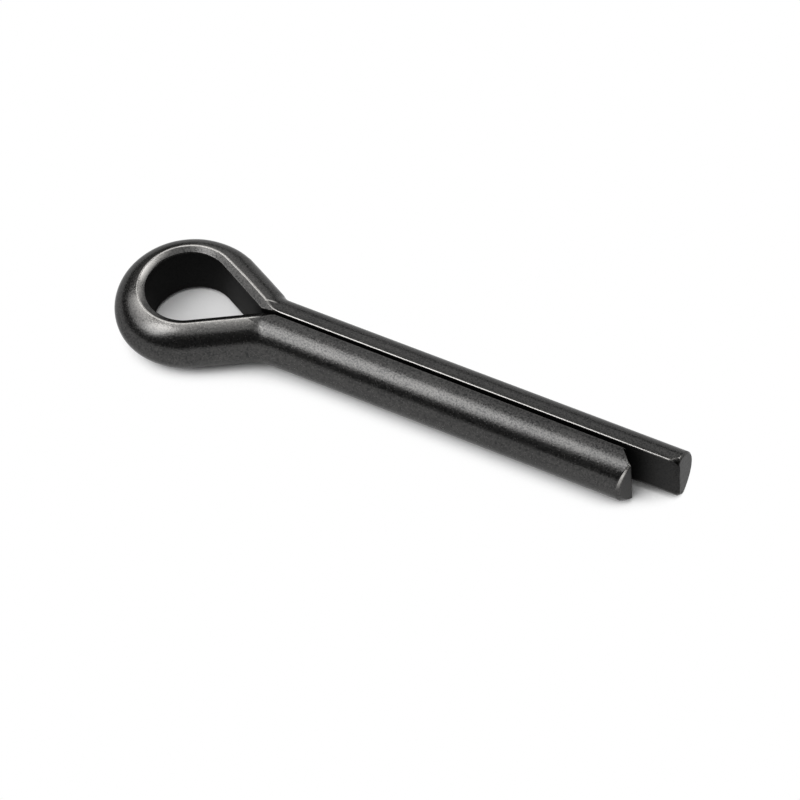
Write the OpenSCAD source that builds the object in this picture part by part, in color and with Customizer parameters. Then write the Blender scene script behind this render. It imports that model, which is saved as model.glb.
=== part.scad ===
// Split cotter pin that keeps a clevis pin in its hole. One length of half-round wire is
// folded flat side to flat side: the fold is a drop-shaped eye and its two ends are the legs,
// which together make a round shank with a slit along the middle.
// X runs along the shank to the tips, Z is up, and the origin is on the shank's axis
// where the legs leave the bends under the eye. The long leg is on the +Y side.

/* [Shank] */
// Diameter of the round shank, across both legs
shank_d = 7.1; // [5:0.1:12]
// Width of the slit between the flats of the two legs
slit_w = 0.42; // [0.2:0.02:1]
// Length of the short leg, from the bend under the eye to its cut end
short_leg = 42.3; // [15:0.1:90]
// How far the long leg reaches past the short one
extension = 4.3; // [1:0.1:10]

/* [Eye] */
// Diameter of the round end of the eye's hole
eye_d = 9.1; // [7:0.1:11]
// Distance from the start of the shank back to the centre of the eye
eye_back = 10.6; // [9.5:0.1:16]
// How far the eye sits off the shank's axis, toward the short leg
eye_shift = 0.5; // [0:0.1:1]
// Radius of the hollow outside each bend, where an arm of the eye turns into its leg
bend_r = 1.5; // [0.6:0.1:2.5]
// Width of the bevel along the eye's inner edges, seen from above
bevel_w = 0.7; // [0.3:0.05:1.2]
// How far the inner edge of that bevel lies below the top of the wire
bevel_drop = 0.46; // [0.2:0.02:0.9]

/* [Tips] */
// Chamfer around the rim of each cut end
rim_chamfer = 0.3; // [0.1:0.05:0.8]
// Bevel across the short leg's inner corner, which lets the legs be prised apart
pry_bevel = 1.4; // [0.5:0.1:2]
// Length of the clipped upper inner corner of the long leg, along the leg
clip_length = 0.8; // [0.3:0.1:1.5]
// Width of that clipped corner, across the top of the leg
clip_width = 0.7; // [0.3:0.1:1.2]
// Height of that clipped corner, down the flat of the leg
clip_height = 1; // [0.3:0.1:1.5]

/* [Hidden] */
$fn = 96;
steel = [0.27, 0.27, 0.28];
// Cutters reach this far past what they cut
margin = 2;
// Bent wire is this much thinner than straight wire, all round its section
bend_thinning = 0.02;
// Each bent piece turns this much further, into the straight pieces at its ends
lap_angle = 3;

shank_r = shank_d / 2;
half_slit = slit_w / 2;
eye_r = eye_d / 2;
// Depth of the wire from its flat to its round back
wire_depth = shank_r - half_slit;
// Radius of the bent flat, and the height of its centre beside the shank's axis
bend_flat_r = bend_r + wire_depth;
bend_y = half_slit + bend_flat_r;
// The bevel meets the wire's round back at this height above the middle of the wire
bevel_top = sqrt(pow(shank_r, 2) - pow(half_slit + bevel_w, 2));
bevel_low = shank_r - bevel_drop;
bevel_slope = (bevel_top - bevel_low) / bevel_w;

long_leg = short_leg + extension;
// How far the eye's centre lies from the axis, away from each leg's own side
long_shift = eye_shift;
short_shift = -eye_shift;

// Each arm is the straight line that touches the eye's round hole and the bent flat of its leg
function centre_distance(shift) = norm([eye_back, bend_y + shift]);
function arm_angle(shift) =
    asin((eye_r + bend_flat_r) / centre_distance(shift)) - atan2(bend_y + shift, eye_back);
function arm_length(shift) =
    sqrt(pow(centre_distance(shift), 2) - pow(eye_r + bend_flat_r, 2));

// Section of the half-round wire, flat near the Y axis and round back toward +X, less a thin skin
module wire_section(skin = 0) {
    intersection() {
        translate([-half_slit, 0]) circle(r = shank_r - skin);
        translate([skin, -shank_r]) square([shank_r, shank_d]);
    }
}

// The corners that the bevel takes off the section, above and below
module bevel_corners(skin = 0) {
    for (flip = [0, 1])
        mirror([0, flip])
            translate([0, -skin * norm([1, bevel_slope])])
                polygon([
                    [-margin, bevel_low - margin * bevel_slope],
                    [bevel_w + margin, bevel_low + (bevel_w + margin) * bevel_slope],
                    [bevel_w + margin, shank_d],
                    [-margin, shank_d]
                ]);
}

module bevelled_section(skin = 0) {
    difference() {
        wire_section(skin);
        bevel_corners(skin);
    }
}

// Sets a section upright on an arm's flat, so that it is drawn out from the eye to the bend
module along_arm(angle) {
    rotate([90, 0, 90 - angle]) children();
}

module eye_ring() {
    sweep = 180 + arm_angle(long_shift) + arm_angle(short_shift);
    translate([-eye_back, -eye_shift, 0])
        rotate([0, 0, 90 - arm_angle(long_shift) - lap_angle])
            rotate_extrude(angle = sweep + 2 * lap_angle)
                translate([eye_r, 0]) bevelled_section(bend_thinning);
}

module arm(shift) {
    angle = arm_angle(shift);
    translate([-eye_back + eye_r * sin(angle), -shift + eye_r * cos(angle), 0])
        along_arm(angle)
            linear_extrude(height = arm_length(shift)) bevelled_section();
}

// The bend from an arm into its leg, where the eye's bevel runs out to nothing
module bend(shift) {
    angle = arm_angle(shift);
    difference() {
        translate([0, bend_y, 0])
            rotate([0, 0, 270 - angle - lap_angle])
                rotate_extrude(angle = angle + 2 * lap_angle)
                    translate([bend_flat_r, 0]) mirror([1, 0]) wire_section(bend_thinning);
        bevel_runout(angle, bend_thinning);
    }
}

// The bevel of an arm carried straight on, past the end of the arm, on its own side of the slit
module bevel_runout(angle, skin = 0) {
    intersection() {
        translate([-bend_flat_r * sin(angle), bend_y - bend_flat_r * cos(angle), 0])
            along_arm(angle)
                translate([0, 0, -margin])
                    linear_extrude(height = bend_flat_r + margin) bevel_corners(skin);
        translate([-2 * bend_flat_r, 0, -shank_d])
            cube([4 * bend_flat_r, 2 * bend_flat_r, 2 * shank_d]);
    }
}

// One half of the slit round shank, with a chamfered rim at its tip
module leg(length, angle) {
    difference() {
        intersection() {
            rotate([0, 90, 0]) {
                cylinder(r = shank_r, h = length - rim_chamfer);
                translate([0, 0, length - rim_chamfer])
                    cylinder(r1 = shank_r, r2 = shank_r - rim_chamfer, h = rim_chamfer);
            }
            translate([0, half_slit, -shank_r]) cube([length, shank_r, shank_d]);
        }
        bevel_runout(angle);
    }
}

// A block whose near face passes through the origin, square to the direction turn and lift
module cutting_block(turn, lift) {
    rotate([0, -lift, turn])
        translate([0, -shank_d, -shank_d]) cube(2 * shank_d);
}

module long_side() {
    across = norm([1 / clip_length, 1 / clip_width]);
    difference() {
        union() {
            arm(long_shift);
            bend(long_shift);
            leg(long_leg, arm_angle(long_shift));
        }
        translate([long_leg - clip_length, half_slit, shank_r])
            cutting_block(-atan2(1 / clip_width, 1 / clip_length), atan2(1 / clip_height, across));
    }
}

module short_side() {
    mirror([0, 1, 0])
        difference() {
            union() {
                arm(short_shift);
                bend(short_shift);
                leg(short_leg, arm_angle(short_shift));
            }
            translate([short_leg - pry_bevel, half_slit, 0]) cutting_block(-45, 0);
        }
}

module split_pin() {
    color(steel) {
        eye_ring();
        long_side();
        short_side();
    }
}

split_pin();
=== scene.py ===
"""Split cotter pin of dark oxidised steel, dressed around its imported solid.

Sizes are in millimetres in the solid's own frame: X runs along the shank to the tips, Y points
to the long leg and Z is up. Arrays are scaled to metres when they go into Blender.
"""

import logging
import math
from dataclasses import dataclass, field
from enum import Enum

import bpy
import numpy as np
from mathutils import Matrix, Vector


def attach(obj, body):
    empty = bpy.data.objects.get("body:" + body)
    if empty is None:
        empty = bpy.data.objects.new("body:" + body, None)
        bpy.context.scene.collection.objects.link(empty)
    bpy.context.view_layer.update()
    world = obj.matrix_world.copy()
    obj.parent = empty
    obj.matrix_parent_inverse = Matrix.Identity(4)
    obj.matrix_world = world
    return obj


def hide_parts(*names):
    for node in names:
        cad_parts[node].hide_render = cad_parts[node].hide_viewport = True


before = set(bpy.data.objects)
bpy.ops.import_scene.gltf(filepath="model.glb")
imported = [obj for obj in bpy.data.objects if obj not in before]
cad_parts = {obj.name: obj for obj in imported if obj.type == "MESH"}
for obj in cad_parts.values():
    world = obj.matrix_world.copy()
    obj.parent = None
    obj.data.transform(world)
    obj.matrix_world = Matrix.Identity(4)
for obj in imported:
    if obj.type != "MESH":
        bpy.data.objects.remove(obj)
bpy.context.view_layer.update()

MM = 0.001
LOG = logging.getLogger("split_pin")
Array = np.ndarray
Colour = tuple[float, float, float]
Range = tuple[float, float]
# What an input takes: another node's socket, or a plain number or colour
Source = bpy.types.NodeSocket | float | Colour
# Turns points over to the other side of the shank
ACROSS = np.array([1.0, -1.0, 1.0])


class Hand(Enum):
    """The two legs of the pin; the value is the sign of the leg's Y."""

    LONG = 1
    SHORT = -1


class Slot(Enum):
    """Material slots on the pin's mesh."""

    OXIDE = 0
    CUT = 1


def smooth_step(x: Array, low: float, high: float) -> Array:
    """Cubic ramp from 0 at low to 1 at high.

    Args:
        x: Values to map.
        low: Where the ramp starts.
        high: Where the ramp ends.

    Returns:
        3t^2 - 2t^3 of the clipped share t between low and high.
    """
    t = np.clip((x - low) / (high - low), 0.0, 1.0)
    return t * t * (3.0 - 2.0 * t)


def soft_min(a: Array, b: Array, width: float) -> Array:
    """Lower of two values with the corner between them rounded.

    Args:
        a: First values.
        b: Second values.
        width: How far apart the two may be and still blend.

    Returns:
        The blend less width * h * (1 - h), where h is the share of a.
    """
    h = np.clip(0.5 + 0.5 * (b - a) / width, 0.0, 1.0)
    return b * (1.0 - h) + a * h - width * h * (1.0 - h)


def soft_max(a: Array, b: Array, width: float) -> Array:
    """Higher of two values with the corner between them rounded."""
    return -soft_min(-np.asarray(a), -np.asarray(b), width)


def bezier(start: Array, corner: Array, end: Array, steps: int) -> Array:
    """Quadratic curves that round a corner off, without their first points.

    Args:
        start: First points, one row each.
        corner: Corners that the curves cut.
        end: Last points.
        steps: Points on each curve.

    Returns:
        (1-s)^2 start + 2s(1-s) corner + s^2 end, of shape rows x steps x 2.
    """
    s = np.linspace(0.0, 1.0, steps + 1)[1:, None]
    return ((1 - s) ** 2 * start[:, None] + 2 * s * (1 - s) * corner[:, None]
            + s ** 2 * end[:, None])


@dataclass(frozen=True)
class RubAndSheen:
    """Wear from 0 to 1 of a section's inner edge, outer edge, crest and bevel, one per section;
    part of it is painted highlight, sheen and shade.
    """

    inner: Array
    outer: Array
    crest: Array
    bevel: Array


@dataclass(frozen=True)
class Wire:
    """Half-round wire: a circle about the shank's axis, cut by a flat half a slit off it.

    A section is drawn in two axes: u goes from the flat to the round back and v is up. Each
    half of it runs up the flat, over a bevel and along the back to the point furthest out.
    """

    radius: float = 3.55
    half_slit: float = 0.21
    flat_columns: int = 19
    corner_columns: int = 5
    bevel_columns: int = 4
    back_columns: int = 42
    # Powers that crowd the columns toward the edges
    flat_crowding: float = 1.8
    back_crowding: float = 1.5
    # How far the rounding of an edge reaches, and the most of a bevel that it may take
    edge_rounding: float = 0.1
    rounding_share: float = 0.36
    # Distances over which wear and painted highlight fade beside an edge
    inner_fade: float = 0.04
    outer_fade: float = 0.07
    crest_fade: float = 0.45
    # Share of a bevel's wear at its lower edge, which paints the bevel darker toward the hole as a
    # painted shade, and of all wear on the lower half
    bevel_shade_low: float = 0.1
    lower_wear: float = 0.25

    @property
    def depth(self) -> float:
        """Distance from the flat to the back."""
        return self.radius - self.half_slit

    @property
    def half_columns(self) -> int:
        """Points on half a section, both ends included."""
        return (self.flat_columns + 2 * self.corner_columns + self.bevel_columns
                + self.back_columns)

    @property
    def columns(self) -> int:
        """Points round a whole section."""
        return 2 * self.half_columns - 2

    @property
    def back_start(self) -> int:
        """First column of a half section that lies on the round back."""
        return self.half_columns - self.back_columns

    @property
    def half_column(self) -> Array:
        """Column of the half section that each column of a whole section stands for."""
        column = np.arange(self.columns)
        return np.minimum(column, self.columns - column)

    def half(self, edge_v: Array, edge_u: Array, rub: RubAndSheen,
             extra_rounding: Array | float = 0.0) -> tuple[Array, Array, Array]:
        """Half sections with a bevel from (0, edge_v) on the flat to depth edge_u on the back.

        The flat is a line, the bevel's two edges are rounded by curves, and the back is the
        circle u = radius * sin(a) - half_slit, v = radius * cos(a).

        Args:
            edge_v: Height of the bevel's lower edge, one per section.
            edge_u: Depth of the bevel's outer edge, one per section.
            rub: How far the edges, the bevel and the crest are worn bright or painted with
                highlight, sheen or shade.
            extra_rounding: How much further than usual the rounding of the edges reaches.

        Returns:
            Arrays of u, v and edge wear with painted highlight and shade, of shape sections x
            half_columns.
        """
        edge_z = np.sqrt(self.radius ** 2 - (edge_u + self.half_slit) ** 2)
        low = np.stack([np.zeros_like(edge_v), edge_v], -1)
        high = np.stack([edge_u, edge_z], -1)
        length = np.linalg.norm(high - low, axis=1)
        rounding = self.edge_rounding + extra_rounding
        cut = np.minimum(rounding, self.rounding_share * length)[:, None]
        along = (high - low) / length[:, None]
        first, last = low + along * cut, high - along * cut
        s = np.linspace(0.0, 1.0, self.flat_columns)
        flat_v = (edge_v - cut[:, 0])[:, None] * (1.0 - (1.0 - s) ** self.flat_crowding)
        flat = np.stack([np.zeros_like(flat_v), flat_v], -1)
        low_corner = bezier(flat[:, -1], low, first, self.corner_columns)
        s = np.linspace(0.0, 1.0, self.bevel_columns + 1)[1:, None]
        s = 0.5 - 0.5 * np.cos(np.pi * s)
        bevel = first[:, None] + s * (last - first)[:, None]
        turn = np.arcsin((edge_u + self.half_slit) / self.radius)
        begin = turn + cut[:, 0] / self.radius
        s = np.linspace(0.0, 1.0, self.back_columns + 1) ** self.back_crowding
        angle = begin[:, None] + (0.5 * np.pi - begin)[:, None] * s
        back = np.stack([self.radius * np.sin(angle) - self.half_slit,
                         self.radius * np.cos(angle)], -1)
        high_corner = bezier(last, high, back[:, 0], self.corner_columns)
        points = np.concatenate([flat, low_corner, bevel, high_corner, back[:, 1:]], axis=1)
        points[:, -1] = (self.depth, 0.0)
        past_edge = (angle[:, 1:] - turn[:, None]) * self.radius
        inner, outer, crest = (share[:, None] for share in (rub.inner, rub.outer, rub.crest))
        corner = np.ones((1, self.corner_columns))
        wear = np.concatenate([
            inner * np.exp((flat_v - edge_v[:, None]) / self.inner_fade),
            inner * corner,
            # The bevel's wear ramps up from its lower edge: a painted shade that darkens the bevel
            # toward the hole
            rub.bevel[:, None] * np.linspace(self.bevel_shade_low, 1.0, self.bevel_columns),
            outer * corner,
            # Outer edge and crest: wear, together with a painted highlight beside the eye's bevel
            np.maximum(outer * np.exp(-past_edge / self.outer_fade),
                       crest * np.exp(-past_edge / self.crest_fade)),
        ], axis=1)
        return points[..., 0], points[..., 1], wear

    def whole(self, upper: tuple[Array, Array, Array],
              lower: tuple[Array, Array, Array]) -> tuple[Array, Array, Array]:
        """Whole sections from an upper half and a lower half that is drawn upside down.

        Args:
            upper: u, v and wear of the upper halves.
            lower: u, v and wear of the lower halves, as if they were upper ones.

        Returns:
            u, v and wear round the section, from the middle of the flat and up.
        """
        u, v, wear = (np.concatenate([a, sign * b[:, -2:0:-1]], axis=1)
                      for a, b, sign in zip(upper, lower, (1.0, -1.0, self.lower_wear)))
        return u, v, wear


@dataclass(frozen=True)
class Eye:
    """Round end of the drop-shaped eye, by the flat of the wire inside it."""

    centre_x: float = -10.6
    centre_y: float = -0.5
    radius: float = 4.55
    bevel_width: float = 0.72
    bevel_low: float = 3.07
    steps: int = 168
    # Angle from +Y toward -X, in degrees, against how far the wire's back stands out there
    swell_angles: tuple[float, ...] = (-30.0, 0.0, 30.0, 60.0, 90.0, 120.0, 150.0, 180.0, 210.0)
    swell: tuple[float, ...] = (0.36, -0.02, -0.08, 0.08, 0.3, 0.39, 0.34, 0.0, -0.18)
    # Sections that the swell is smoothed over
    swell_blur: int = 25
    # Angles between which the crest's wear and painted highlight turn from the long arm's to the
    # short arm's
    crest_turn: Range = (40.0, 110.0)
    # Angles over which a polished bevel with a painted sheen comes and goes at the far end, and its
    # strength
    far_sheen_rise: Range = (45.0, 75.0)
    far_sheen_fall: Range = (110.0, 150.0)
    far_bevel_sheen: float = 0.76


@dataclass(frozen=True)
class Side:
    """One leg, its bend and its arm, with Y measured outward from the shank's axis.

    Streamlines of equal depth u run straight along the leg and straight along the arm, and
    an arc of radius bend_radius(u) joins them: tight at the flat and open at the back.
    """

    hand: Hand
    tip_x: float
    fold_x: float
    bevel_width: float
    flat_bend: float
    back_bend: float
    bend_from: float
    bend_to: float
    swell: float
    crease_x: tuple[float, ...]
    crease_y: tuple[float, ...]
    root_x: float = 2.2
    root_steps: int = 116
    arm_steps: int = 18
    leg_steps: int = 26
    # Power that crowds the leg's sections toward its tip, and the share where the second one lies
    leg_crowding: float = 1.6
    second_section: float = 0.001
    # Edge of the flat along the leg, and how softly the eye's bevel runs out into it
    edge_u: float = 0.1
    edge_v: float = 3.465
    edge_u_blend: float = 0.22
    edge_v_blend: float = 0.08
    # Depth past edge_u at which a section begins to count as bevelled, and at which it does
    bevelled_u: Range = (0.04, 0.24)
    # Shares of the bend over which the back swells, and from which the eye's wear and painted
    # highlight come in
    swell_share: Range = (0.34, 0.6)
    eye_from: float = 0.4
    eye_run: float = 0.16
    # Rounding of the cut end's rim: at the top, low down and at the flat, and the heights between
    rim_top: float = 0.25
    rim_low: float = 0.12
    rim_flat: float = 0.3
    rim_fade: Range = (0.8, 2.8)
    # Slope of the cut end behind its pry bevel, and how far the leg is sprung open
    slant: float = 0.0
    splay: float = 0.0
    # Wear of the leg's edges as a whole, partly a painted highlight along the edges, then of each
    # part of the section
    edge_wear_and_sheen: float = 1.0
    leg_inner: float = 0.21
    leg_bevel: float = 0.41
    leg_outer: float = 0.36
    eye_inner: float = 0.02
    eye_bevel: float = 0.04
    crest_wear_and_sheen: float = 0.1
    # Crease that the dies left: half its softness, the width and strength of a painted highlight
    # line beside it, and a painted shade inside it
    crease_soft: float = 0.05
    crease_width: float = 0.07
    crease_highlight: float = 0.9
    crease_painted_shade: float = 0.9
    # Painted highlight line on the rim: strength, depths between which it lies, and its reach
    # toward the end
    rim_highlight: float = 0.85
    rim_highlight_u: Range = (0.0, 1.3)
    rim_highlight_rise: float = 0.1
    rim_highlight_fall: float = 0.4
    rim_highlight_reach: float = 0.45
    rim_highlight_soft: float = 0.3

    def rub(self, eye: Array, bevelled: Array) -> RubAndSheen:
        """Wear along the side: the edges of the leg, then the outer edge and crest of the eye.

        Args:
            eye: How far each section belongs to the eye, from 0 to 1.
            bevelled: How far each section has the eye's bevel, from 0 to 1.

        Returns:
            The wear of each section.
        """
        leg = self.edge_wear_and_sheen * (1.0 - bevelled)
        inner = self.leg_inner * leg + self.eye_inner * bevelled
        outer = self.leg_outer * self.edge_wear_and_sheen * (1.0 - eye) + eye
        bevel = self.leg_bevel * leg + self.eye_bevel * bevelled
        return RubAndSheen(inner, outer, self.crest_wear_and_sheen * eye, bevel)

    def rim_highlight_line(self, u: Array, v: Array, step: Array) -> Array:
        """Painted highlight line on the upper rim of the cut end.

        Args:
            u: Depths round the section.
            v: Heights round the section.
            step: How far each row lies across the rim, from 0 on the leg to 1 on the cut end.

        Returns:
            The painted highlight: a window in depth times a fade in height times the reach across.
        """
        first, last = self.rim_highlight_u
        window = smooth_step(u, first, first + self.rim_highlight_rise)
        window = window * (1.0 - smooth_step(u, last - self.rim_highlight_fall, last))
        past = smooth_step(step, self.rim_highlight_reach - self.rim_highlight_soft, self.rim_highlight_reach)
        return self.rim_highlight * window * smooth_step(v, *self.rim_fade) * (1.0 - past)

    def bend_radius(self, u: Array) -> Array:
        """Radius of the bend on the streamline at depth u."""
        share = smooth_step(u, self.bend_from, self.bend_to)
        return self.flat_bend + (self.back_bend - self.flat_bend) * share


LONG_SIDE = Side(
    hand=Hand.LONG, tip_x=46.6, fold_x=-1.9, bevel_width=0.84, flat_bend=0.5, back_bend=1.8,
    bend_from=0.6, bend_to=2.2, swell=0.36,
    crease_x=(-1.95, -1.78, -1.23, -0.39, 0.29, 0.7, 1.0),
    crease_y=(1.0, 1.16, 1.29, 1.33, 1.45, 2.2, 3.5),
)
SHORT_SIDE = Side(
    hand=Hand.SHORT, tip_x=42.3, fold_x=-1.355, bevel_width=0.74, flat_bend=0.9, back_bend=5.0,
    bend_from=1.3, bend_to=2.7, swell=-0.15,
    crease_x=(-2.5, -2.39, -0.9, 0.0, 0.65, 1.0, 1.3),
    crease_y=(1.6, 1.76, 1.82, 2.29, 2.72, 3.26, 3.55),
    edge_u=0.05, edge_v=3.5, rim_top=0.26, rim_low=0.34, rim_flat=0.06, slant=0.33, splay=0.1,
    edge_wear_and_sheen=0.14, crest_wear_and_sheen=0.6, crease_highlight=0.09, eye_from=0.5, rim_fade=(0.4, 2.9),
    rim_highlight_u=(1.3, 4.0), rim_highlight_reach=0.85,
)


@dataclass(frozen=True)
class Tips:
    """Cut ends: a pry bevel on the short leg and a clipped corner on the long one."""

    pry_bevel: float = 1.4
    clip_length: float = 0.8
    clip_width: float = 0.95
    clip_height: float = 1.0
    roll_from: float = 37.0
    roll_to: float = 43.0
    roll_v: float = 2.6
    roll_u: float = 0.95
    roll_rounding: float = 0.5
    # Widths over which the planes of an end blend into each other
    pry_blend: float = 0.1
    clip_blend: float = 0.06
    # Rows across the rim, from the cut end to the leg
    rim_steps: tuple[float, ...] = (1.0, 0.94, 0.82, 0.5, 0.18, 0.06)

    def end_x(self, side: Side, wire: Wire, u: Array, v: Array) -> Array:
        """Where the cut end of a leg lies at each place in its section.

        Args:
            side: The leg.
            wire: Its section.
            u: Depths behind the flat.
            v: Heights.

        Returns:
            X of the end: the tip less a 45 degree bevel and a slant away from it, or under a
            plane across the corner.
        """
        if side.hand is Hand.SHORT:
            past = u - self.pry_bevel
            return side.tip_x - soft_max(side.slant * past, -past, self.pry_blend)
        plane = u / self.clip_width + (wire.radius - v) / self.clip_height - 1.0
        clipped = side.tip_x + self.clip_length * plane
        return soft_min(np.full_like(clipped, side.tip_x), clipped, self.clip_blend)


@dataclass
class Grid:
    """A run of sections: points, wear with painted sheen and shade, and the same points on the
    straight wire.
    """

    points: Array
    wear: Array
    straight: Array

    def mirrored(self) -> "Grid":
        """The same run on the other side of the shank, from its far end."""
        return Grid(self.points[::-1] * ACROSS, self.wear[::-1], self.straight[::-1])


@dataclass(frozen=True)
class FlatScaleAndShade:
    """Dark colour of the flat of the wire: dull scale with a painted shade of the eye's hole and
    the slit, lighter on the arms and near the tips.
    """

    # Columns about the end of the flat over which the scale ends
    end_columns: tuple[int, int] = (-4, 2)
    # Distances behind the origin where the flat gets lighter on the arms, and where that eases off
    arm_rise: Range = (1.0, 4.0)
    arm_fall: Range = (6.0, 10.0)
    arm_easing: float = 0.5
    arm_loss: float = 0.34
    # X over which the flat gets lighter near the tips
    tip_rise: Range = (38.0, 46.0)
    tip_loss: float = 0.45
    # Distances behind the long tip where its cut end counts as the clipped corner
    clip_rise: Range = (0.03, 0.1)

    def cover(self, wire: Wire, x: Array) -> Array:
        """Share of the flat's dark colour, scale and painted shade, at each point of the sections.

        Args:
            wire: The section.
            x: X of the points, of shape sections x columns.

        Returns:
            1 on the flat and 0 on the back, less the losses on the arms and near the tips.
        """
        first, last = (wire.flat_columns + step for step in self.end_columns)
        flat = 1.0 - smooth_step(wire.half_column, first, last)
        eased = 1.0 - self.arm_easing * smooth_step(-x, *self.arm_fall)
        arms = self.arm_loss * smooth_step(-x, *self.arm_rise) * eased
        return flat * (1.0 - self.tip_loss * smooth_step(x, *self.tip_rise) - arms)


@dataclass
class SplitPin:
    """The whole pin: one length of half-round wire folded into an eye and two legs."""

    wire: Wire = field(default_factory=Wire)
    eye: Eye = field(default_factory=Eye)
    tips: Tips = field(default_factory=Tips)
    scale: FlatScaleAndShade = field(default_factory=FlatScaleAndShade)
    long_side: Side = LONG_SIDE
    short_side: Side = SHORT_SIDE
    name: str = "folded_wire"

    def arm(self, side: Side) -> tuple[float, float]:
        """Angle and length of an arm, the tangent from the fold to the eye's round flat.

        Args:
            side: The leg that the arm belongs to.

        Returns:
            The angle that the arm leaves the shank's axis by, in radians, and its length.
        """
        back = side.fold_x - self.eye.centre_x
        rise = self.eye.centre_y * side.hand.value - self.wire.half_slit
        reach = math.hypot(back, rise)
        angle = math.atan2(rise, back) + math.asin(self.eye.radius / reach)
        return angle, math.sqrt(reach ** 2 - self.eye.radius ** 2)

    def edges(self, side: Side, past_fold: Array, past_mitre: Array) -> tuple[Array, Array]:
        """Bevel of the eye, carried straight on past the fold until it leaves the leg.

        The bevel is a plane through the arm, so on the leg its lower edge climbs by the
        bevel's slope and its outer edge nears the flat by the tangent of the arm's angle.

        Args:
            side: The leg.
            past_fold: Distance along the leg past the fold, at the flat.
            past_mitre: The same at the bevel's outer edge.

        Returns:
            Height of the lower edge and depth of the outer edge, for each section.
        """
        angle, _ = self.arm(side)
        width = side.bevel_width
        top = math.sqrt(self.wire.radius ** 2 - (width + self.wire.half_slit) ** 2)
        slope = (top - self.eye.bevel_low) / width
        climb = self.eye.bevel_low + slope * math.sin(angle) * np.maximum(past_fold, 0.0)
        edge_v = soft_min(climb, np.full_like(climb, side.edge_v), side.edge_v_blend)
        near = width - math.tan(angle) * np.maximum(past_mitre, 0.0)
        edge_u = soft_max(near, np.full_like(near, side.edge_u), side.edge_u_blend)
        return edge_v, edge_u

    def root(self, side: Side) -> Grid:
        """Bend from leg to arm, along streamlines of equal depth.

        A streamline at depth u is a straight of length a, an arc of radius r and the same
        straight again: a = root_x - (fold_x + (u + r) tan(angle / 2)).

        Args:
            side: The leg.

        Returns:
            The run from the leg to the arm.
        """
        angle, _ = self.arm(side)
        half_tan = math.tan(0.5 * angle)
        share = np.linspace(0.0, 1.0, side.root_steps + 1)
        reach = side.root_x - side.fold_x
        mitre = reach - side.bevel_width * half_tan
        edge_v, edge_u = self.edges(side, reach * (1 - 2 * share), mitre * (1 - 2 * share))
        eye = smooth_step(share, side.eye_from, side.eye_from + side.eye_run)
        bevelled = smooth_step(edge_u - side.edge_u, *side.bevelled_u)
        half = self.wire.half(edge_v, edge_u, side.rub(eye, bevelled))
        u, v, wear = self.wire.whole(half, half)
        radius = side.bend_radius(u)
        straight = reach - (u + radius) * half_tan
        total = 2 * straight + radius * angle
        run = share[:, None] * total
        turn = np.clip((run - straight) / radius, 0.0, angle)
        before = np.minimum(run, straight)
        after = np.maximum(run - straight - radius * angle, 0.0)
        x = side.root_x - before - radius * np.sin(turn) - after * math.cos(angle)
        y = self.wire.half_slit + u + radius * (1 - np.cos(turn)) + after * math.sin(angle)
        swell = side.swell * smooth_step(share, *side.swell_share)[:, None] * u / self.wire.depth
        x = x + swell * np.sin(turn)
        y = y + swell * np.cos(turn)
        v, wear = self.pressed(side, x, y, v, wear)
        along = -side.root_x + run
        return Grid(np.stack([x, y, v], -1), wear, np.stack([along, u, v], -1))

    def pressed(self, side: Side, x: Array, y: Array, v: Array,
                wear: Array) -> tuple[Array, Array]:
        """Heights where the dies that held the legs pressed the wire to the leg's round form.

        Inside the crease line the back lies on the leg's cylinder, sqrt(R^2 - y^2), raised so
        that it starts level with the bevel; outside it the bend stays as it was.

        Args:
            side: The leg.
            x: X of the run's points.
            y: Y of the points, outward.
            v: Their heights.
            wear: Their wear.

        Returns:
            The new heights, and the wear with a painted shade inside the crease, where the wear is
            taken away, and with a painted highlight line outside it, which fades away from the
            fold.
        """
        first = self.wire.back_start
        leg = np.sqrt(np.maximum(self.wire.radius ** 2 - y ** 2, 0.0))
        lift = np.maximum(v[:, first - 1] - leg[:, first - 1], 0.0)[:, None]
        limit = np.interp(x, side.crease_x, side.crease_y)
        begun = smooth_step(x, side.crease_x[0], side.crease_x[1])
        ended = smooth_step(x, side.crease_x[2], side.crease_x[3])
        inside = smooth_step(limit - y, -side.crease_soft, side.crease_soft) * begun
        height = np.abs(v)
        lowered = height + (np.minimum(height, leg + lift) - height) * inside
        outside = (y - limit - side.crease_width) / side.crease_width
        # Painted highlight: a bright line beside the crease; painted shade: the wear taken away
        # inside it
        line = np.exp(-outside ** 2) * begun * (1.0 - ended) * (v > 0.0)
        shaded_wear = wear * (1.0 - side.crease_painted_shade * inside)
        wear_and_crease_paint = np.maximum(shaded_wear, side.crease_highlight * line)
        on_back = (self.wire.half_column >= first)[None]
        return np.where(on_back, np.sign(v) * lowered, v), np.where(on_back, wear_and_crease_paint, wear)

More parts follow.
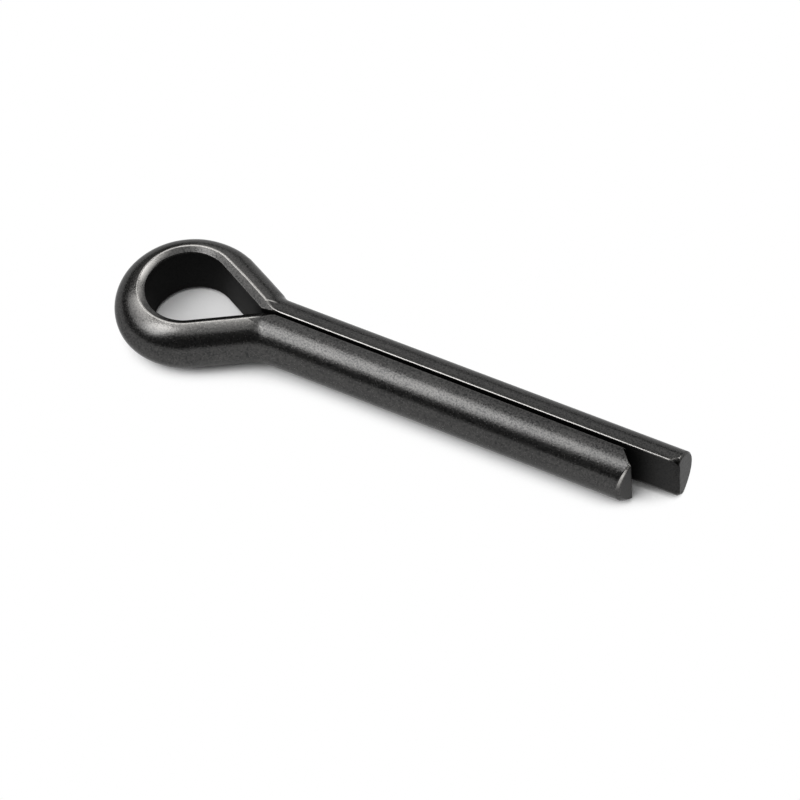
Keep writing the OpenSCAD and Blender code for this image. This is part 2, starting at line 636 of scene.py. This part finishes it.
    def straight_arm(self, side: Side) -> Grid:
        """Arm from the end of the bend to the round of the eye, without its first section.

        Args:
            side: The leg that the arm belongs to.

        Returns:
            The run along the arm: fold + s * direction + u * normal.
        """
        angle, length = self.arm(side)
        reach = side.root_x - side.fold_x
        share = np.linspace(0.0, 1.0, side.arm_steps + 1)[1:]
        distance = reach + (length - reach) * share
        width = side.bevel_width + (self.eye.bevel_width - side.bevel_width) * share
        whole = np.ones_like(width)
        low = np.full_like(width, self.eye.bevel_low)
        half = self.wire.half(low, width, side.rub(whole, whole))
        u, v, wear = self.wire.whole(half, half)
        step = distance[:, None]
        end = np.interp(math.degrees(self.ring_angle(side)), self.eye.swell_angles, self.eye.swell)
        out = u * (1.0 + (side.swell + (end - side.swell) * share)[:, None] / self.wire.depth)
        x = side.fold_x - step * math.cos(angle) + out * math.sin(angle)
        y = self.wire.half_slit + step * math.sin(angle) + out * math.cos(angle)
        along = np.broadcast_to(step - side.fold_x, u.shape)
        return Grid(np.stack([x, y, v], -1), wear, np.stack([along, u, v], -1))

    def ring_angle(self, side: Side) -> float:
        """Angle about the eye, from +Y toward -X, where a side's arm joins its round."""
        angle, _ = self.arm(side)
        return -angle if side.hand is Hand.LONG else math.pi + angle

    def ring_rub_and_sheen(self, degrees: Array) -> RubAndSheen:
        """Wear round the eye: one arm's crest turns into the other's, and the bevel at the far end
        is polished and painted with sheen.

        Args:
            degrees: Angles about the eye, from +Y toward -X.

        Returns:
            The wear of each section.
        """
        whole = np.ones_like(degrees)
        long_arm = self.long_side.rub(whole, whole)
        short_arm = self.short_side.rub(whole, whole)
        share = smooth_step(degrees, *self.eye.crest_turn)
        crest = long_arm.crest + (short_arm.crest - long_arm.crest) * share
        # The bevel at the far end is painted brighter: polished, and partly a painted sheen
        far_end = smooth_step(degrees, *self.eye.far_sheen_rise)
        far_end = far_end * (1.0 - smooth_step(degrees, *self.eye.far_sheen_fall))
        bevel = long_arm.bevel + self.eye.far_bevel_sheen * far_end
        return RubAndSheen(long_arm.inner, long_arm.outer, crest, bevel)

    def ring(self) -> Grid:
        """Round of the eye between the two arms, without its end sections.

        Returns:
            The run from the long side to the short: centre + (radius + u)(-sin g, cos g).
        """
        start, stop = self.ring_angle(self.long_side), self.ring_angle(self.short_side)
        turn = np.linspace(start, stop, self.eye.steps + 1)[1:-1]
        degrees = np.degrees(turn)
        low = np.full_like(turn, self.eye.bevel_low)
        width = np.full_like(turn, self.eye.bevel_width)
        half = self.wire.half(low, width, self.ring_rub_and_sheen(degrees))
        u, v, wear = self.wire.whole(half, half)
        swell = np.interp(degrees, self.eye.swell_angles, self.eye.swell)
        kernel = np.hanning(self.eye.swell_blur)
        padded = np.pad(swell, self.eye.swell_blur // 2, mode="edge")
        swell = np.convolve(padded, kernel / kernel.sum(), mode="valid")
        out = self.eye.radius + u * (1.0 + swell[:, None] / self.wire.depth)
        x = self.eye.centre_x - out * np.sin(turn)[:, None]
        y = self.eye.centre_y + out * np.cos(turn)[:, None]
        _, length = self.arm(self.long_side)
        along = length - self.long_side.fold_x + self.eye.radius * (turn - start)
        along = np.broadcast_to(along[:, None], u.shape)
        return Grid(np.stack([x, y, v], -1), wear, np.stack([along, u, v], -1))

    def leg(self, side: Side) -> Grid:
        """Straight leg with its rounded rim, from the cut end to the bend.

        On the rim's chamfer of size c a point moves in by c t and back from the end by
        c (1 - t), where t goes from 0 on the leg to 1 on the cut end.

        Args:
            side: The leg.

        Returns:
            The run from the tip, without the section where the bend begins.
        """
        share = np.linspace(0.0, 1.0, side.leg_steps + 1)[:-1] ** side.leg_crowding
        share = np.insert(share, 1, side.second_section)
        nominal = side.tip_x + (side.root_x - side.tip_x) * share
        edge_u = np.full_like(share, side.edge_u)
        edge_v = np.full_like(share, side.edge_v)
        rub = side.rub(np.zeros_like(share), np.zeros_like(share))
        upper = self.wire.half(edge_v, edge_u, rub)
        lower = upper
        if side.hand is Hand.LONG:
            roll = smooth_step(nominal, self.tips.roll_from, self.tips.roll_to)
            lower = self.wire.half(edge_v + (self.tips.roll_v - edge_v) * roll,
                                   edge_u + (self.tips.roll_u - edge_u) * roll,
                                   rub, self.tips.roll_rounding * roll)
        u, v, wear = self.wire.whole(upper, lower)
        size, inward = self.rim(side, u[0], v[0])
        base = self.tips.end_x(side, self.wire, u[:1], v[:1]) - size
        x = side.root_x + (base - side.root_x) * (1.0 - share)[:, None]
        body = np.stack([x, self.wire.half_slit + u, v], -1)
        step = np.array(self.tips.rim_steps)[:, None]
        rim_u = u[:1] + inward[0] * size * step
        rim_v = v[:1] + inward[1] * size * step
        rim_x = self.tips.end_x(side, self.wire, rim_u, rim_v) - size * (1.0 - step)
        rim = np.stack([rim_x, self.wire.half_slit + rim_u, rim_v], -1)
        # The rim keeps the leg's edge wear and takes a painted highlight line along its top
        rim_wear_and_highlight = np.maximum(wear[:1] * (1.0 - step), side.rim_highlight_line(u[:1], v[:1], step))
        points = np.concatenate([rim, body])
        straight = points * np.array([-1.0, 1.0, 1.0]) - np.array([0.0, self.wire.half_slit, 0.0])
        return Grid(points, np.concatenate([rim_wear_and_highlight, wear]), straight)

    def rim(self, side: Side, u: Array, v: Array) -> tuple[Array, Array]:
        """Size and direction of the rounding at the end of each column of a leg.

        Args:
            side: The leg.
            u: Depths round the section.
            v: Heights round the section.

        Returns:
            The rounding's size, and unit vectors (du, dv) into the section.
        """
        first, last = self.wire.flat_columns - 1, self.wire.back_start
        share = smooth_step(self.wire.half_column, first, last)
        back = side.rim_low + (side.rim_top - side.rim_low) * smooth_step(v, *side.rim_fade)
        size = side.rim_flat + (back - side.rim_flat) * share
        du = (1.0 - share) - share * (u + self.wire.half_slit) / self.wire.radius
        dv = -share * v / self.wire.radius
        length = np.hypot(du, dv)
        return size, np.stack([du / length, dv / length])

    def cap(self, side: Side, ring: Array, points: Array, first: int) -> tuple[Array, Array, Array]:
        """Cut end of a leg: lines across the section from lower to upper columns.

        Args:
            side: The leg.
            ring: Vertex numbers round the end of the leg.
            points: Points of that ring.
            first: Number that the first new vertex gets.

        Returns:
            New points, quads and triangles.
        """
        wire = self.wire
        top = np.arange(wire.half_columns)
        bottom = (wire.columns - top) % wire.columns
        flat = np.concatenate([bottom[wire.flat_columns - 1:0:-1], top[:wire.flat_columns]])
        across = points[flat, 2]
        across = (across - across[0]) / (across[-1] - across[0])
        rows = np.arange(wire.flat_columns, wire.half_columns - 1)
        low, high = points[bottom[rows], 1:], points[top[rows], 1:]
        inner = low[:, None] + across[1:-1, None] * (high - low)[:, None]
        u = np.abs(inner[..., 0]) - wire.half_slit
        x = self.tips.end_x(side, wire, u, inner[..., 1])
        new = np.concatenate([x[..., None], inner], axis=-1).reshape(-1, 3)
        numbers = first + np.arange(len(new)).reshape(len(rows), -1)
        table = np.concatenate([ring[bottom[rows]][:, None], numbers, ring[top[rows]][:, None]], 1)
        table = np.concatenate([ring[flat][None], table])
        quads = np.stack([table[:-1, :-1], table[1:, :-1], table[1:, 1:], table[:-1, 1:]], -1)
        pole = np.full(table.shape[1] - 1, ring[wire.half_columns - 1])
        fan = np.stack([table[-1, :-1], pole, table[-1, 1:]], -1)
        return new, quads.reshape(-1, 4), fan

    def surface(self) -> tuple[Array, Array, Array, dict[str, Array]]:
        """The closed surface of the pin: runs of sections end to end, and a cap on each end.

        Returns:
            Points, quads, triangles, and the values edge_wear_and_sheen, cut_end, flat_side and
            straight_wire of each point.
        """
        runs = [self.leg(self.long_side), self.root(self.long_side),
                self.straight_arm(self.long_side), self.ring(),
                self.straight_arm(self.short_side).mirrored(),
                self.root(self.short_side).mirrored(), self.leg(self.short_side).mirrored()]
        sections = np.concatenate([run.points for run in runs])
        wear = np.concatenate([run.wear for run in runs]).ravel()
        straight = np.concatenate([run.straight for run in runs]).reshape(-1, 3)
        count = len(wear)
        number = np.arange(count).reshape(sections.shape[:2])
        right = np.roll(number, -1, axis=1)
        quads = np.stack([number[:-1], right[:-1], right[1:], number[1:]], -1).reshape(-1, 4)
        long_end, long_quads, long_fan = self.cap(self.long_side, number[0], sections[0], count)
        short_end, short_quads, short_fan = self.cap(
            self.short_side, number[-1], sections[-1] * ACROSS, count + len(long_end))
        points = np.concatenate([sections.reshape(-1, 3), long_end, short_end * ACROSS])
        points = self.sprung(points)
        ends = points[count:]
        clipped = smooth_step(self.long_side.tip_x - ends[:, 0], *self.scale.clip_rise)
        clipped[len(long_end):] = 0.0
        scale = self.scale.cover(self.wire, sections[..., 0]).ravel()
        # The wear value holds worn edges together with painted highlights on the edges, crease and
        # rim, painted sheen on the crest and bevel, and painted shade in the crease
        values = {
            "edge_wear_and_sheen": np.concatenate([wear, np.zeros(len(ends))]),
            "cut_end": np.concatenate([np.zeros(count), np.ones(len(ends))]),
            "flat_side": np.concatenate([scale, clipped]),
            "straight_wire": np.concatenate([straight, ends]) * MM,
        }
        quads = np.concatenate([quads, long_quads, short_quads[:, ::-1]])
        return points, quads, np.concatenate([long_fan, short_fan[:, ::-1]]), values

    def sprung(self, points: Array) -> Array:
        """Springs the short leg open, evenly from the bend to its splay at the tip.

        Args:
            points: All points of the pin.

        Returns:
            The points, with those of the short leg moved by splay times their share of its length.
        """
        side = self.short_side
        share = np.clip((points[:, 0] - side.root_x) / (side.tip_x - side.root_x), 0.0, 1.0)
        moved = points.copy()
        moved[:, 1] -= np.where(points[:, 1] < 0.0, side.splay * share, 0.0)
        return moved

    def build(self, finishes: list[bpy.types.Material]) -> bpy.types.Object:
        """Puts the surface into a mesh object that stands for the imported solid.

        Args:
            finishes: Materials in the order of Slot.

        Returns:
            The finished piece, riding on the frame.
        """
        points, quads, fans, values = self.surface()
        mesh = bpy.data.meshes.new(self.name)
        mesh.from_pydata((points * MM).tolist(), [], quads.tolist() + fans.tolist())
        for name, numbers in values.items():
            kind, part = ("FLOAT", "value") if numbers.ndim == 1 else ("FLOAT_VECTOR", "vector")
            attribute = mesh.attributes.new(name, kind, "POINT")
            attribute.data.foreach_set(part, numbers.astype(np.float32).ravel())
        for material in finishes:
            mesh.materials.append(material)
        corners = [values["cut_end"][q].max(axis=1) > 0.5 for q in (quads, fans)]
        slots = np.where(np.concatenate(corners), Slot.CUT.value, Slot.OXIDE.value)
        mesh.polygons.foreach_set("material_index", slots.astype(np.int32))
        mesh.polygons.foreach_set("use_smooth", np.ones(len(slots), dtype=bool))
        mesh.update()
        mesh.validate()
        piece = bpy.data.objects.new(self.name, mesh)
        bpy.context.scene.collection.objects.link(piece)
        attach(piece, "root")
        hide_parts("split_pin")
        return piece


def node(tree: bpy.types.NodeTree, kind: str, **values: object) -> bpy.types.Node:
    """New node with its properties and unlinked inputs set.

    Args:
        tree: The tree that takes the node.
        kind: Blender's name of the node type.
        **values: Properties by name, or input values by the input's name with _ for a space.

    Returns:
        The node.
    """
    made = tree.nodes.new(kind)
    for key, value in values.items():
        if hasattr(made, key):
            setattr(made, key, value)
        else:
            made.inputs[key.replace("_", " ")].default_value = value
    return made


def feed(tree: bpy.types.NodeTree, source: Source, socket: bpy.types.NodeSocket) -> None:
    """Links a socket to an input, or sets the input to a plain value.

    Args:
        tree: The tree that both belong to.
        source: A socket, a number or a colour.
        socket: The input.
    """
    if isinstance(source, bpy.types.NodeSocket):
        tree.links.new(source, socket)
    elif isinstance(source, tuple):
        socket.default_value = (*source, 1.0)
    else:
        socket.default_value = source


class MixKind(Enum):
    """Kinds of Mix node; the value is its data type, its sockets' numbers and its output's."""

    NUMBER = ("FLOAT", (0, 2, 3), 0)
    COLOUR = ("RGBA", (0, 6, 7), 2)


def mix(tree: bpy.types.NodeTree, kind: MixKind, share: Source, first: Source,
        second: Source) -> bpy.types.NodeSocket:
    """Mixes two numbers or two colours.

    Args:
        tree: The tree that takes the node.
        kind: What is mixed.
        share: Share of the second one, as a socket or a number.
        first: The first number or colour, or the socket that gives it.
        second: The second one.

    Returns:
        The socket with the mix.
    """
    data_type, places, out = kind.value
    made = node(tree, "ShaderNodeMix", data_type=data_type)
    for place, source in zip(places, (share, first, second)):
        feed(tree, source, made.inputs[place])
    return made.outputs[out]


def stretch(tree: bpy.types.NodeTree, source: bpy.types.NodeSocket, reach: Range,
            to: Range = (0.0, 1.0)) -> bpy.types.NodeSocket:
    """Maps one range of numbers to another and clips what lies outside.

    Args:
        tree: The tree that takes the node.
        source: Socket with the numbers.
        reach: Numbers that become the ends of the new range.
        to: The new range.

    Returns:
        The socket with the mapped numbers.
    """
    made = node(tree, "ShaderNodeMapRange", From_Min=reach[0], From_Max=reach[1],
                To_Min=to[0], To_Max=to[1])
    tree.links.new(source, made.inputs["Value"])
    return made.outputs["Result"]


def new_group(name: str, inputs: dict[str, float], outputs: tuple[str, ...]) -> bpy.types.NodeTree:
    """Empty shader node group with number sockets and its two end nodes.

    Args:
        name: Name of the group.
        inputs: Default values by input name.
        outputs: Names of the outputs.

    Returns:
        The group, whose end nodes are called In and Out.
    """
    tree = bpy.data.node_groups.new(name, "ShaderNodeTree")
    for label, value in inputs.items():
        socket = tree.interface.new_socket(label, in_out="INPUT", socket_type="NodeSocketFloat")
        socket.default_value = value
    for label in outputs:
        tree.interface.new_socket(label, in_out="OUTPUT", socket_type="NodeSocketFloat")
    tree.nodes.new("NodeGroupInput").name = "In"
    tree.nodes.new("NodeGroupOutput").name = "Out"
    return tree


@dataclass(frozen=True)
class TumbledGrain:
    """Grain of the tumbled surface: fine grain, soft blotches and drawing streaks.

    The grain and the blotches are noise in space; the streaks are noise on the straight wire,
    drawn out along it, so they follow the wire round the eye.
    """

    grain_scale: float = 3200.0
    grain_detail: float = 1.5
    grain_rough: float = 0.6
    blotch_scale: float = 170.0
    blotch_detail: float = 4.0
    blotch_rough: float = 0.55
    streak_scale: tuple[float, float, float] = (160.0, 1600.0, 1600.0)
    streak_detail: float = 3.0
    streak_rough: float = 0.6

    def build(self) -> bpy.types.NodeTree:
        """Builds the node group.

        Returns:
            A group with outputs Grain, Blotch and Streak, each from 0 to 1.
        """
        scales = {"Grain Scale": self.grain_scale, "Blotch Scale": self.blotch_scale}
        tree = new_group("tumbled_grain", scales, ("Grain", "Blotch", "Streak"))
        entry, leave = tree.nodes["In"], tree.nodes["Out"]
        place = tree.nodes.new("ShaderNodeTexCoord")
        drawn = node(tree, "ShaderNodeAttribute", attribute_name="straight_wire")
        grain = node(tree, "ShaderNodeTexNoise", Detail=self.grain_detail,
                     Roughness=self.grain_rough)
        blotch = node(tree, "ShaderNodeTexNoise", Detail=self.blotch_detail,
                      Roughness=self.blotch_rough)
        streak = node(tree, "ShaderNodeTexNoise", Scale=1.0, Detail=self.streak_detail,
                      Roughness=self.streak_rough)
        drawn_out = node(tree, "ShaderNodeMapping", vector_type="POINT", Scale=self.streak_scale)
        links = tree.links
        links.new(place.outputs["Object"], grain.inputs["Vector"])
        links.new(place.outputs["Object"], blotch.inputs["Vector"])
        links.new(drawn.outputs["Vector"], drawn_out.inputs["Vector"])
        links.new(drawn_out.outputs["Vector"], streak.inputs["Vector"])
        links.new(entry.outputs["Grain Scale"], grain.inputs["Scale"])
        links.new(entry.outputs["Blotch Scale"], blotch.inputs["Scale"])
        links.new(grain.outputs["Fac"], leave.inputs["Grain"])
        links.new(blotch.outputs["Fac"], leave.inputs["Blotch"])
        links.new(streak.outputs["Fac"], leave.inputs["Streak"])
        return tree


@dataclass(frozen=True)
class WornEdgesAndSheen:
    """Edges worn bright, with painted highlights and sheen among them, broken up by the drawing
    streaks and the grain.
    """

    grain_share: float = 0.6
    broken_from: Range = (0.34, 0.56)
    broken_to: Range = (0.65, 1.0)

    def build(self) -> bpy.types.NodeTree:
        """Builds the node group.

        Returns:
            A group with inputs Streak, Grain and Share and the output Mask: the edge's wear and
            painted sheen times the mapped mix of streak and grain, times the share.
        """
        tree = new_group("worn_edges_and_sheen", {"Streak": 0.5, "Grain": 0.5, "Share": 0.7}, ("Mask",))
        entry, leave = tree.nodes["In"], tree.nodes["Out"]
        edge = node(tree, "ShaderNodeAttribute", attribute_name="edge_wear_and_sheen")
        both = mix(tree, MixKind.NUMBER, self.grain_share, entry.outputs["Streak"],
                   entry.outputs["Grain"])
        wear = node(tree, "ShaderNodeMath", operation="MULTIPLY")
        mask = node(tree, "ShaderNodeMath", operation="MULTIPLY")
        links = tree.links
        links.new(edge.outputs["Fac"], wear.inputs[0])
        links.new(stretch(tree, both, self.broken_from, self.broken_to), wear.inputs[1])
        links.new(wear.outputs["Value"], mask.inputs[0])
        links.new(entry.outputs["Share"], mask.inputs[1])
        links.new(mask.outputs["Value"], leave.inputs["Mask"])
        return tree


@dataclass(frozen=True)
class SteelFinish:
    """Dark steel: satin, finely grained, a little brown, worn bright on its edges, with painted
    highlights and sheen there too.

    The flat side of the wire is mixed toward its own dark colour: dull scale, with a painted shade
    of the eye's hole and the slit.
    """

    name: str
    dark: Colour
    warm: Colour
    # scale: the flat's colour, dull scale darkened further as a painted shade of the hole and the
    # slit
    scale: Colour
    # bright: colour of worn edges and of the painted highlights and sheen
    bright: Colour
    wear_share: float
    rough: Range
    bump: float
    grain_scale: float
    grazing: Colour = (0.62, 0.62, 0.62)
    # Share of the fine grain in the tone, and of the streaks in the mottle under it
    speckle: float = 0.6
    streak_share: float = 0.45
    # Ranges of the noise that are stretched to the whole range of tone and roughness
    speckle_from: Range = (0.34, 0.57)
    mottle_from: Range = (0.38, 0.68)
    rough_from: Range = (0.3, 0.7)
    scale_rough: float = 0.75
    relief: float = 0.00003

    def material(self, grain_tree: bpy.types.NodeTree,
                 wear_tree: bpy.types.NodeTree) -> bpy.types.Material:
        """Builds the material.

        Args:
            grain_tree: The shared grain group.
            wear_tree: The shared group of worn edges and painted sheen.

        Returns:
            A node material with a Principled shader.
        """
        made = bpy.data.materials.new(self.name)
        made.use_nodes = True
        tree = made.node_tree
        links = tree.links
        shader = tree.nodes["Principled BSDF"]
        shader.inputs["Metallic"].default_value = 1.0
        shader.inputs["Specular Tint"].default_value = (*self.grazing, 1.0)
        noise = node(tree, "ShaderNodeGroup", node_tree=grain_tree, Grain_Scale=self.grain_scale)
        # Mask of worn edges with painted highlights, sheen and shade
        worn = node(tree, "ShaderNodeGroup", node_tree=wear_tree, Share=self.wear_share)
        grain, blotch, streak = (noise.outputs[name] for name in ("Grain", "Blotch", "Streak"))
        links.new(streak, worn.inputs["Streak"])
        links.new(grain, worn.inputs["Grain"])
        mottle = mix(tree, MixKind.NUMBER, self.streak_share, blotch, streak)
        tone = mix(tree, MixKind.NUMBER, self.speckle, stretch(tree, mottle, self.mottle_from),
                   stretch(tree, grain, self.speckle_from))
        flat = node(tree, "ShaderNodeAttribute", attribute_name="flat_side").outputs["Fac"]
        colour = mix(tree, MixKind.COLOUR, tone, self.dark, self.warm)
        # The flat takes the scale colour, partly a painted shade of the eye's hole and the slit
        colour = mix(tree, MixKind.COLOUR, flat, colour, self.scale)
        # Worn edges and painted highlights lift the colour toward bright
        colour = mix(tree, MixKind.COLOUR, worn.outputs["Mask"], colour, self.bright)
        links.new(colour, shader.inputs["Base Color"])
        satin = stretch(tree, grain, self.rough_from, self.rough)
        links.new(mix(tree, MixKind.NUMBER, flat, satin, self.scale_rough),
                  shader.inputs["Roughness"])
        relief = node(tree, "ShaderNodeBump", Strength=self.bump, Distance=self.relief)
        links.new(grain, relief.inputs["Height"])
        links.new(relief.outputs["Normal"], shader.inputs["Normal"])
        return made


# In both finishes, scale also paints shade on the flat, and bright also paints highlights and sheen
OXIDE = SteelFinish(
    name="dark_oxide_steel", dark=(0.027, 0.0274, 0.0278), warm=(0.086, 0.0843, 0.0825),
    scale=(0.008, 0.008, 0.008), bright=(0.74, 0.72, 0.692), wear_share=0.97,
    rough=(0.18, 0.28), bump=0.3, grain_scale=5500.0, speckle=0.72,
)
SHEARED = SteelFinish(
    name="sheared_steel", dark=(0.018, 0.018, 0.018), warm=(0.05, 0.049, 0.0475),
    scale=(0.01, 0.01, 0.009), bright=(0.4, 0.4, 0.39), wear_share=0.5,
    rough=(0.38, 0.52), bump=0.5, grain_scale=4000.0, grazing=(0.84, 0.84, 0.84),
)


@dataclass(frozen=True)
class Softbox:
    """Rectangular soft light that faces the pin; angles in degrees, sizes in metres."""

    name: str
    azimuth: float
    elevation: float
    width: float
    height: float
    radiance: float
    distance: float = 1.0
    aim: tuple[float, float, float] = (0.012, 0.0, 0.0)

    def build(self) -> bpy.types.Object:
        """Creates the light, with the power that gives its face the wanted radiance.

        Returns:
            The light: power = pi * area * radiance.
        """
        lamp = bpy.data.lights.new(self.name, "AREA")
        lamp.shape = "RECTANGLE"
        lamp.size = self.width
        lamp.size_y = self.height
        lamp.energy = math.pi * self.width * self.height * self.radiance
        light = bpy.data.objects.new(self.name, lamp)
        turn, rise = math.radians(self.azimuth), math.radians(self.elevation)
        toward = Vector((math.cos(turn) * math.cos(rise), math.sin(turn) * math.cos(rise),
                         math.sin(rise)))
        light.location = toward * self.distance + Vector(self.aim)
        light.rotation_euler = toward.to_track_quat("Z", "Y").to_euler()
        bpy.context.scene.collection.objects.link(light)
        return light


@dataclass(frozen=True)
class Studio:
    """White table in a dim room, between soft panels on both sides, above, behind and at the tips.

    The table looks pure white where the pin covers little of the sky above it: cover_low and
    cover_high are the open shares of the sky where that begins and is complete.
    """

    floor_z: float = -3.55
    floor_size: float = 8.0
    floor_colour: Colour = (0.8, 0.8, 0.8)
    floor_rough: float = 0.9
    cover_reach: float = 0.0083
    cover_low: float = 0.25
    cover_high: float = 0.6
    cover_samples: int = 16
    room: float = 0.11
    panels: tuple[Softbox, ...] = (
        Softbox("key_light", azimuth=233.0, elevation=50.0, width=0.4, height=0.62, radiance=4.2),
        Softbox("left_panel", azimuth=208.0, elevation=41.0, width=1.2, height=0.62, radiance=1.9),
        Softbox("top_panel", azimuth=285.0, elevation=78.0, width=1.0, height=1.0, radiance=1.0),
        Softbox("back_panel", azimuth=98.0, elevation=25.0, width=1.0, height=0.6, radiance=0.9),
        Softbox("rear_panel", azimuth=142.0, elevation=57.0, width=0.5, height=0.4, radiance=0.9),
        Softbox("right_panel", azimuth=55.0, elevation=53.0, width=0.45, height=0.45, radiance=2.0),
        Softbox("tip_panel", azimuth=20.0, elevation=25.0, width=0.5, height=0.4, radiance=1.6),
    )

    def floor(self) -> bpy.types.Object:
        """Plain table top under the pin.

        Returns:
            The table: a square of floor_size at the height floor_z.
        """
        side = np.array([-0.5, 0.5]) * self.floor_size
        x, y = np.meshgrid(side, side)
        points = np.stack([x.ravel(), y.ravel(), np.full(4, self.floor_z * MM)], -1)
        mesh = bpy.data.meshes.new("table_top")
        mesh.from_pydata(points.tolist(), [], [(0, 1, 3, 2)])
        paint = bpy.data.materials.new("white_table")
        paint.use_nodes = True
        shader = paint.node_tree.nodes["Principled BSDF"]
        shader.inputs["Base Color"].default_value = (*self.floor_colour, 1.0)
        shader.inputs["Roughness"].default_value = self.floor_rough
        shader.inputs["Specular IOR Level"].default_value = 0.0
        self.whiten(paint.node_tree)
        mesh.materials.append(paint)
        table = bpy.data.objects.new("table_top", mesh)
        bpy.context.scene.collection.objects.link(table)
        return table

    def whiten(self, tree: bpy.types.NodeTree) -> None:
        """Lets the open part of the table look pure white, and keeps the shadow near the pin.

        Args:
            tree: The table's node tree, whose shader is mixed with a white glow of strength 1
                where the pin covers little of the sky, for camera and glossy rays only.
        """
        links = tree.links
        path = tree.nodes.new("ShaderNodeLightPath")
        seen = node(tree, "ShaderNodeMath", operation="MAXIMUM")
        links.new(path.outputs["Is Camera Ray"], seen.inputs[0])
        links.new(path.outputs["Is Glossy Ray"], seen.inputs[1])
        cover = node(tree, "ShaderNodeAmbientOcclusion", samples=self.cover_samples,
                     Distance=self.cover_reach)
        open_sky = node(tree, "ShaderNodeMapRange", interpolation_type="SMOOTHSTEP",
                        From_Min=self.cover_low, From_Max=self.cover_high)
        share = node(tree, "ShaderNodeMath", operation="MULTIPLY")
        white = node(tree, "ShaderNodeEmission", Strength=1.0)
        blend = tree.nodes.new("ShaderNodeMixShader")
        links.new(cover.outputs["AO"], open_sky.inputs["Value"])
        links.new(open_sky.outputs["Result"], share.inputs[0])
        links.new(seen.outputs["Value"], share.inputs[1])
        links.new(share.outputs["Value"], blend.inputs[0])
        links.new(tree.nodes["Principled BSDF"].outputs["BSDF"], blend.inputs[1])
        links.new(white.outputs["Emission"], blend.inputs[2])
        links.new(blend.outputs["Shader"], tree.nodes["Material Output"].inputs["Surface"])

    def sky(self) -> None:
        """World light: the dim room around the panels."""
        world = bpy.data.worlds.new("studio")
        world.use_nodes = True
        back = world.node_tree.nodes["Background"]
        back.inputs["Color"].default_value = (1.0, 1.0, 1.0, 1.0)
        back.inputs["Strength"].default_value = self.room
        bpy.context.scene.world = world

    def build(self) -> list[bpy.types.Object]:
        """Sets up the table, the room and the panels.

        Returns:
            The table and the lights.
        """
        made = [self.floor()]
        self.sky()
        made += [panel.build() for panel in self.panels]
        bpy.context.scene.view_settings.view_transform = "Standard"
        return made


@dataclass(frozen=True)
class PhotoCamera:
    """Camera at the photograph's viewing angle, with angles in degrees and its place in mm."""

    azimuth: float = 34.349
    elevation: float = 54.108
    roll: float = -7.98
    place: tuple[float, float, float] = (124.729, -161.681, 266.559)
    focal_px: float = 3152.5
    frame_px: float = 800.0
    sensor: float = 36.0
    nearest: float = 0.01
    furthest: float = 50.0

    def build(self) -> bpy.types.Object:
        """Creates the camera and makes it the scene's own.

        Returns:
            The camera object.
        """
        data = bpy.data.cameras.new("photo_camera")
        data.sensor_width = self.sensor
        data.lens = self.focal_px * self.sensor / self.frame_px
        data.clip_start = self.nearest
        data.clip_end = self.furthest
        turn, rise, roll = (math.radians(a) for a in (self.azimuth, self.elevation, self.roll))
        level = Vector((math.cos(turn), math.sin(turn), 0.0))
        back = Vector((math.sin(turn) * math.cos(rise), -math.cos(turn) * math.cos(rise),
                       math.sin(rise)))
        steep = back.cross(level)
        right = math.cos(roll) * level + math.sin(roll) * steep
        up = math.cos(roll) * steep - math.sin(roll) * level
        camera = bpy.data.objects.new("photo_camera", data)
        axes = Matrix((right, up, back)).transposed().to_4x4()
        camera.matrix_world = Matrix.Translation(Vector(self.place) * MM) @ axes
        bpy.context.scene.collection.objects.link(camera)
        bpy.context.scene.camera = camera
        return camera


def main() -> None:
    """Builds the camera, the pin and the studio, in that order."""
    logging.basicConfig(level=logging.INFO, format="%(name)s: %(message)s")
    camera = PhotoCamera().build()
    LOG.info("camera: %s", camera.name)
    grain, wear = TumbledGrain().build(), WornEdgesAndSheen().build()
    finishes = [finish.material(grain, wear) for finish in (OXIDE, SHEARED)]
    pin = SplitPin().build(finishes)
    LOG.info("pin: %s, %d faces", pin.name, len(pin.data.polygons))
    for piece in Studio().build():
        LOG.info("studio: %s", piece.name)


if __name__ == "__main__":
    main()
